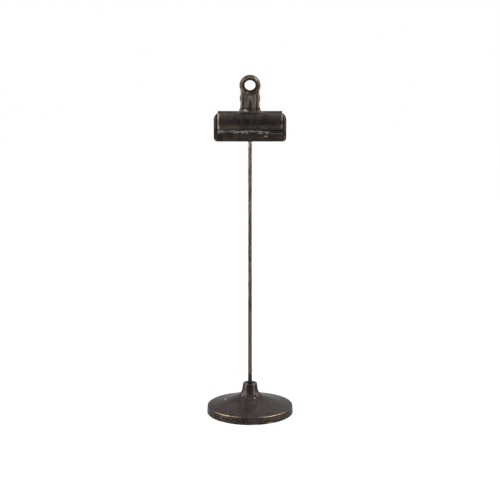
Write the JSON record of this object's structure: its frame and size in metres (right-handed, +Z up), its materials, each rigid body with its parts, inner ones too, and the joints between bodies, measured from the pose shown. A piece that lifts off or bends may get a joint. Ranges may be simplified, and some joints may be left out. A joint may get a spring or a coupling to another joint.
{
  "type": "memo clip holder",
  "caption": "Sprung bulldog clip on a slim upright rod with a round weighted base, for holding a memo, photo or card upright; the front jaw opens when the handles are squeezed.",
  "frame": {"origin": "on the table under the centre of the round base", "axes": "+Z up along the rod, -Y towards the viewer's side, +X along the jaws"},
  "size_m": [0.0744, 0.0744, 0.2891],
  "materials": {
    "cast_patina": "dark brown-black patina, satin, edges worn to pale brass",
    "rod_steel": "brown patina rubbed bright along the rod",
    "fastener_steel": "plain plated steel",
    "clip_patina": "dark bronze patina, satin, edges worn",
    "barrel_patina": "dark bronze patina, satin, edges and lips worn",
    "braze_metal": "dull braze"
  },
  "bodies": {
    "stand": {"base_casting": "cast_patina", "rod": "rod_steel", "washer": "fastener_steel", "nut": "fastener_steel", "braze": "braze_metal", "rear_plate": "clip_patina", "barrel": "barrel_patina"},
    "front_jaw": {"front_plate": "clip_patina"}
  },
  "joints": [
    {"name": "jaw_hinge", "type": "hinge", "parent": "stand", "child": "front_jaw", "pos_m": [0, -0.00247, 0.25937], "axis": [-1, 0, 0], "range_deg": [0, 30], "stiffness_Nm_per_rad": 0.6, "springref_deg": -22.92, "deforming": ["barrel"]}
  ]
}
